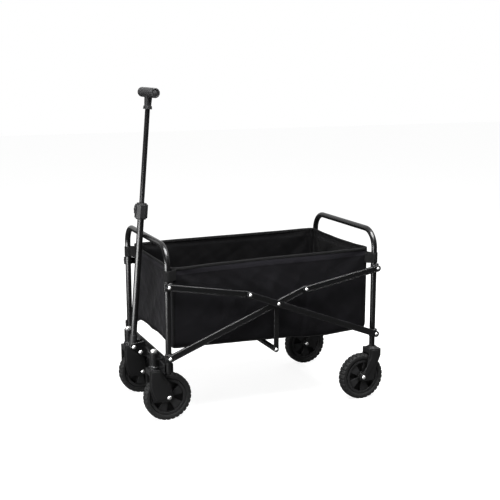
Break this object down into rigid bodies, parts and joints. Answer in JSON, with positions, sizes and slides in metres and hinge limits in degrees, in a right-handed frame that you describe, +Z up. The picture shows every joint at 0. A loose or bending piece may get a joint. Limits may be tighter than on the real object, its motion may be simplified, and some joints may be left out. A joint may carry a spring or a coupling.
{
  "type": "folding camp wagon",
  "caption": "Folding utility wagon with a cloth basket on two tube frames, a scissor linkage, swivel casters and a telescoping T-grip pull handle.",
  "frame": {"origin": "on the floor, at the middle of the wagon's outline seen from above", "axes": "+X forward to the pull handle, +Y to the left side, +Z up"},
  "size_m": [0.798, 0.473, 1.01],
  "materials": {
    "frame_paint": "semi-gloss black powder coat on steel tube",
    "zinc_plate": "bright zinc-plated rivets and bolts",
    "moulded_plastic": "fine-grained black nylon moulding",
    "grip_plastic": "matt black moulding with ribs",
    "wheel_plastic": "dark grey moulded wheel",
    "tyre_rubber": "black tyre with shallow knobs",
    "basket_cloth": "black coated polyester plain weave with a faint sheen"
  },
  "bodies": {
    "rear_frame": {"rear_hoop": "frame_paint", "rear_cross_tube": "frame_paint", "rear_pivot_brackets": "frame_paint", "rear_frame_rivets": "zinc_plate", "rear_forks": "moulded_plastic", "rear_axles": "zinc_plate", "bag_rear_panel": "basket_cloth"},
    "front_frame": {"front_hoop": "frame_paint", "front_beam": "frame_paint", "caster_housings": "frame_paint", "front_pivot_brackets": "frame_paint", "front_frame_rivets": "zinc_plate", "handle_bracket": "frame_paint", "handle_bolts": "zinc_plate", "bag_front_panel": "basket_cloth"},
    "brace_rear_left": {"brace_rear_left": "frame_paint", "brace_rivets_left": "zinc_plate"},
    "brace_rear_right": {"brace_rear_right": "frame_paint", "brace_rivets_right": "zinc_plate"},
    "brace_front_left": {"brace_front_left": "frame_paint"},
    "brace_front_right": {"brace_front_right": "frame_paint"},
    "link_front_left": {"link_front_left": "frame_paint"},
    "link_front_right": {"link_front_right": "frame_paint"},
    "link_rear_left": {"link_rear_left": "frame_paint", "link_stud_left": "zinc_plate"},
    "link_rear_right": {"link_rear_right": "frame_paint", "link_stud_right": "zinc_plate"},
    "centre_support": {"support_struts": "frame_paint", "support_crossbar": "frame_paint", "support_bolts": "zinc_plate"},
    "caster_left": {"caster_fork_left": "moulded_plastic", "caster_bolts_left": "zinc_plate"},
    "caster_right": {"caster_fork_right": "moulded_plastic", "caster_bolts_right": "zinc_plate"},
    "handle_lower": {"handle_foot": "moulded_plastic", "handle_tube": "frame_paint", "lock_collar": "moulded_plastic"},
    "lock_button": {"lock_button": "moulded_plastic"},
    "handle_upper": {"inner_tube": "frame_paint", "inner_bush": "moulded_plastic", "handle_grip": "grip_plastic", "grip_caps": "grip_plastic"},
    "bag_side_left_1": {"bag_side_left_1": "basket_cloth"},
    "bag_side_left_2": {"bag_side_left_2": "basket_cloth"},
    "bag_side_left_3": {"bag_side_left_3": "basket_cloth"},
    "bag_side_left_4": {"bag_side_left_4": "basket_cloth"},
    "bag_side_right_1": {"bag_side_right_1": "basket_cloth"},
    "bag_side_right_2": {"bag_side_right_2": "basket_cloth"},
    "bag_side_right_3": {"bag_side_right_3": "basket_cloth"},
    "bag_side_right_4": {"bag_side_right_4": "basket_cloth"},
    "bag_floor_front": {"bag_floor_front": "basket_cloth"},
    "bag_floor_rear": {"bag_floor_rear": "basket_cloth"},
    "wheel_front_left": {"wheel_front_left": "wheel_plastic", "tyre_front_left": "tyre_rubber"},
    "wheel_front_right": {"wheel_front_right": "wheel_plastic", "tyre_front_right": "tyre_rubber"},
    "wheel_rear_left": {"wheel_rear_left": "wheel_plastic", "tyre_rear_left": "tyre_rubber"},
    "wheel_rear_right": {"wheel_rear_right": "wheel_plastic", "tyre_rear_right": "tyre_rubber"}
  },
  "joints": [
    {"name": "fold", "type": "hinge", "parent": "rear_frame", "child": "brace_rear_left", "pos_m": [-0.364, 0.206, 0.219], "axis": [0, -1, 0], "range_deg": [0, 62.65], "deforming": ["bag_side_left_1", "bag_side_left_2", "bag_side_left_3", "bag_side_left_4", "bag_side_right_1", "bag_side_right_2", "bag_side_right_3", "bag_side_right_4", "bag_floor_front", "bag_floor_rear"]},
    {"name": "brace_front_left_pivot", "type": "hinge", "parent": "brace_rear_left", "child": "brace_front_left", "pos_m": [-0.014, 0.206, 0.355], "axis": [0, 1, 0], "range_deg": [0, 125.32]},
    {"name": "front_frame_pivot", "type": "hinge", "parent": "brace_front_left", "child": "front_frame", "pos_m": [0.336, 0.206, 0.219], "axis": [0, -1, 0], "range_deg": [0, 62.67]},
    {"name": "support_pivot", "type": "hinge", "parent": "brace_rear_left", "child": "centre_support", "pos_m": [-0.014, 0.206, 0.355], "axis": [0, 1, 0], "range_deg": [0, 62.67]},
    {"name": "brace_rear_right_pivot", "type": "hinge", "parent": "rear_frame", "child": "brace_rear_right", "pos_m": [-0.364, -0.206, 0.219], "axis": [0, -1, 0], "range_deg": [0, 62.67]},
    {"name": "brace_front_right_pivot", "type": "hinge", "parent": "brace_rear_right", "child": "brace_front_right", "pos_m": [-0.014, -0.206, 0.355], "axis": [0, 1, 0], "range_deg": [0, 125.32]},
    {"name": "link_rear_left_pivot", "type": "hinge", "parent": "rear_frame", "child": "link_rear_left", "pos_m": [-0.364, 0.206, 0.43661], "axis": [0, -1, 0], "range_deg": [0, 93.5]},
    {"name": "link_front_left_pivot", "type": "hinge", "parent": "front_frame", "child": "link_front_left", "pos_m": [0.336, 0.206, 0.43661], "axis": [0, 1, 0], "range_deg": [0, 93.5]},
    {"name": "link_rear_right_pivot", "type": "hinge", "parent": "rear_frame", "child": "link_rear_right", "pos_m": [-0.364, -0.206, 0.43661], "axis": [0, -1, 0], "range_deg": [0, 93.5]},
    {"name": "link_front_right_pivot", "type": "hinge", "parent": "front_frame", "child": "link_front_right", "pos_m": [0.336, -0.206, 0.43661], "axis": [0, 1, 0], "range_deg": [0, 93.5]},
    {"name": "bag_fold_left_1", "type": "hinge", "parent": "front_frame", "child": "bag_side_left_1", "pos_m": [0.318, 0.1945, 0.3675], "axis": [0, 0, 1], "range_deg": [0, 86.22]},
    {"name": "bag_fold_left_2", "type": "hinge", "parent": "bag_side_left_1", "child": "bag_side_left_2", "pos_m": [0.152, 0.1945, 0.3675], "axis": [0, 0, -1], "range_deg": [0, 172.42]},
    {"name": "bag_fold_left_4", "type": "hinge", "parent": "rear_frame", "child": "bag_side_left_4", "pos_m": [-0.346, 0.1945, 0.3675], "axis": [0, 0, -1], "range_deg": [0, 86.22]},
    {"name": "bag_fold_left_3", "type": "hinge", "parent": "bag_side_left_4", "child": "bag_side_left_3", "pos_m": [-0.18, 0.1945, 0.3675], "axis": [0, 0, 1], "range_deg": [0, 172.42]},
    {"name": "bag_fold_right_1", "type": "hinge", "parent": "front_frame", "child": "bag_side_right_1", "pos_m": [0.318, -0.1945, 0.3675], "axis": [0, 0, -1], "range_deg": [0, 86.22]},
    {"name": "bag_fold_right_2", "type": "hinge", "parent": "bag_side_right_1", "child": "bag_side_right_2", "pos_m": [0.152, -0.1945, 0.3675], "axis": [0, 0, 1], "range_deg": [0, 172.42]},
    {"name": "bag_fold_right_4", "type": "hinge", "parent": "rear_frame", "child": "bag_side_right_4", "pos_m": [-0.346, -0.1945, 0.3675], "axis": [0, 0, 1], "range_deg": [0, 86.22]},
    {"name": "bag_fold_right_3", "type": "hinge", "parent": "bag_side_right_4", "child": "bag_side_right_3", "pos_m": [-0.18, -0.1945, 0.3675], "axis": [0, 0, -1], "range_deg": [0, 172.42]},
    {"name": "floor_fold_front", "type": "hinge", "parent": "front_frame", "child": "bag_floor_front", "pos_m": [0.318, 0, 0.2355], "axis": [0, 1, 0], "range_deg": [0, 86.22]},
    {"name": "floor_fold_rear", "type": "hinge", "parent": "rear_frame", "child": "bag_floor_rear", "pos_m": [-0.346, 0, 0.2355], "axis": [0, -1, 0], "range_deg": [0, 86.22]},
    {"name": "caster_swivel_left", "type": "hinge", "parent": "front_frame", "child": "caster_left", "pos_m": [0.36, 0.138, 0.18], "axis": [0, 0, 1], "continuous": true},
    {"name": "wheel_front_left_spin", "type": "hinge", "parent": "caster_left", "child": "wheel_front_left", "pos_m": [0.32, 0.138, 0.075], "axis": [0, 1, 0], "continuous": true},
    {"name": "wheel_rear_left_spin", "type": "hinge", "parent": "rear_frame", "child": "wheel_rear_left", "pos_m": [-0.324, 0.206, 0.075], "axis": [0, 1, 0], "continuous": true},
    {"name": "caster_swivel_right", "type": "hinge", "parent": "front_frame", "child": "caster_right", "pos_m": [0.36, -0.138, 0.18], "axis": [0, 0, 1], "continuous": true},
    {"name": "wheel_front_right_spin", "type": "hinge", "parent": "caster_right", "child": "wheel_front_right", "pos_m": [0.32, -0.138, 0.075], "axis": [0, 1, 0], "continuous": true},
    {"name": "wheel_rear_right_spin", "type": "hinge", "parent": "rear_frame", "child": "wheel_rear_right", "pos_m": [-0.324, -0.206, 0.075], "axis": [0, 1, 0], "continuous": true},
    {"name": "handle_tilt", "type": "hinge", "parent": "front_frame", "child": "handle_lower", "pos_m": [0.386, 0, 0.204], "axis": [0, 1, 0], "range_deg": [0, 100]},
    {"name": "handle_telescope", "type": "slide", "parent": "handle_lower", "child": "handle_upper", "axis": [0.0864, 0, -0.9963], "range_m": [0, 0.28]},
    {"name": "lock_button_press", "type": "slide", "parent": "handle_lower", "child": "lock_button", "axis": [-0.9963, 0, -0.0864], "range_m": [0, 0.003], "stiffness_N_per_m": 400, "springref_m": -0.002}
  ],
  "couplings": [
    {"joint": "brace_front_left_pivot", "follows": "fold", "ratio": 2},
    {"joint": "front_frame_pivot", "follows": "fold", "ratio": 1},
    {"joint": "support_pivot", "follows": "fold", "ratio": 1},
    {"joint": "brace_rear_right_pivot", "follows": "fold", "ratio": 1},
    {"joint": "brace_front_right_pivot", "follows": "fold", "ratio": 2},
    {"joint": "link_rear_left_pivot", "follows": "fold", "ratio": 1.492},
    {"joint": "link_front_left_pivot", "follows": "fold", "ratio": 1.492},
    {"joint": "link_rear_right_pivot", "follows": "fold", "ratio": 1.492},
    {"joint": "link_front_right_pivot", "follows": "fold", "ratio": 1.492},
    {"joint": "bag_fold_left_1", "follows": "fold", "ratio": 1.3759},
    {"joint": "bag_fold_left_2", "follows": "fold", "ratio": 2.7518},
    {"joint": "bag_fold_left_4", "follows": "fold", "ratio": 1.3759},
    {"joint": "bag_fold_left_3", "follows": "fold", "ratio": 2.7518},
    {"joint": "bag_fold_right_1", "follows": "fold", "ratio": 1.3759},
    {"joint": "bag_fold_right_2", "follows": "fold", "ratio": 2.7518},
    {"joint": "bag_fold_right_4", "follows": "fold", "ratio": 1.3759},
    {"joint": "bag_fold_right_3", "follows": "fold", "ratio": 2.7518},
    {"joint": "floor_fold_front", "follows": "fold", "ratio": 1.3759},
    {"joint": "floor_fold_rear", "follows": "fold", "ratio": 1.3759}
  ]
}
